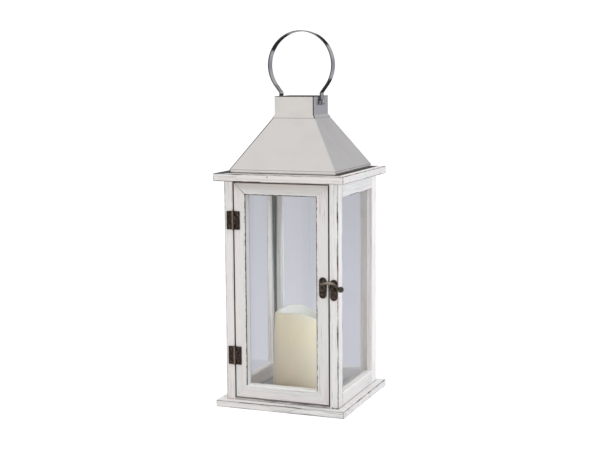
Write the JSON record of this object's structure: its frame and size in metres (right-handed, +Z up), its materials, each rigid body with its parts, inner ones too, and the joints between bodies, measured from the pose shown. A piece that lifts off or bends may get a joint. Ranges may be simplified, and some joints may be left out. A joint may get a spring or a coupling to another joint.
{
  "type": "candle lantern",
  "caption": "Wooden candle lantern with four glass panes, a hinged and latched front door, a folded steel roof with chimney and strap ring handle, and a battery candle inside.",
  "frame": {"origin": "middle of the underside of the base slab", "axes": "+Z up, -Y out of the door side, +X to the right of somebody facing the door"},
  "size_m": [0.17, 0.17, 0.469],
  "materials": {
    "whitewashed_wood": "thin white wash over fine straight grain, matt, rubbed through along the edges",
    "plain_wood": "bare beech and plywood",
    "glass": "clear float glass, 2 mm",
    "polished_sheet": "polished stainless sheet with soft reflections",
    "chromed_strap": "bright chromed strap",
    "zinc_steel": "zinc-plated steel",
    "antique_bronze": "antiqued bronze plating on steel, worn lighter on its high spots",
    "ivory_wax": "wax-coated ivory shell, slightly translucent",
    "clear_plastic": "clear moulded plastic",
    "ivory_plastic": "moulded ivory plastic",
    "black_plastic": "moulded black plastic",
    "board": "fibreglass circuit board",
    "cell_can": "printed steel cell, unmarked"
  },
  "bodies": {
    "root": {"back_bottom_rail": "whitewashed_wood", "back_left_stile": "whitewashed_wood", "back_pane": "glass", "back_right_stile": "whitewashed_wood", "back_top_rail": "whitewashed_wood", "base_screws": "zinc_steel", "base_slab": "whitewashed_wood", "chimney": "polished_sheet", "door_stop": "whitewashed_wood", "door_stop_screws": "zinc_steel", "handle_rivets": "chromed_strap", "hinge_pins": "antique_bronze", "hinge_post_screws": "antique_bronze", "latch_post_plate": "antique_bronze", "latch_post_screws": "antique_bronze", "latch_stud": "antique_bronze", "left_back_stile": "whitewashed_wood", "left_bottom_rail": "whitewashed_wood", "left_front_stile": "whitewashed_wood", "left_pane": "glass", "left_top_rail": "whitewashed_wood", "lower_hinge_post_leaf": "antique_bronze", "right_back_stile": "whitewashed_wood", "right_bottom_rail": "whitewashed_wood", "right_front_stile": "whitewashed_wood", "right_pane": "glass", "right_top_rail": "whitewashed_wood", "rivet_washers": "zinc_steel", "roof": "polished_sheet", "roof_screws": "zinc_steel", "threshold_strip": "whitewashed_wood", "top_dowels": "plain_wood", "top_slab": "whitewashed_wood", "upper_hinge_post_leaf": "antique_bronze"},
    "door": {"door_left_stile": "whitewashed_wood", "door_right_stile": "whitewashed_wood", "door_bottom_rail": "whitewashed_wood", "door_top_rail": "whitewashed_wood", "door_splines": "plain_wood", "door_pane": "glass", "pane_clips": "zinc_steel", "pane_clip_screws": "zinc_steel", "upper_hinge_door_leaf": "antique_bronze", "lower_hinge_door_leaf": "antique_bronze", "hinge_door_screws": "antique_bronze", "latch_door_plate": "antique_bronze", "latch_door_screws": "antique_bronze", "latch_pivot": "antique_bronze"},
    "latch_hook": {"latch_hook": "antique_bronze"},
    "handle": {"handle_ring": "chromed_strap"},
    "candle": {"candle_shell": "ivory_wax", "candle_flame_tip": "clear_plastic", "candle_led": "clear_plastic", "candle_circuit_board": "board", "candle_battery_box": "ivory_plastic", "candle_battery_cover": "ivory_plastic", "candle_cover_screw": "zinc_steel", "candle_batteries": "cell_can", "candle_battery_contacts": "zinc_steel"},
    "candle_switch": {"candle_switch": "black_plastic"}
  },
  "joints": [
    {"name": "door_hinge", "type": "hinge", "parent": "root", "child": "door", "pos_m": [-0.06265, -0.07625, 0.15], "axis": [0, 0, -1], "range_deg": [0, 170]},
    {"name": "hook_pivot", "type": "hinge", "parent": "door", "child": "latch_hook", "pos_m": [0.055, -0.077, 0.1579], "axis": [0, -1, 0], "range_deg": [0, 180]},
    {"name": "handle_swing", "type": "hinge", "parent": "root", "child": "handle", "pos_m": [0, 0, 0.3808], "axis": [1, 0, 0], "range_deg": [-127, 127]},
    {"name": "candle_lift", "type": "slide", "parent": "root", "child": "candle", "axis": [0, 0, 1], "range_m": [0, 0.02]},
    {"name": "candle_switch_slide", "type": "slide", "parent": "candle", "child": "candle_switch", "axis": [1, 0, 0], "range_m": [0, 0.0044]}
  ]
}
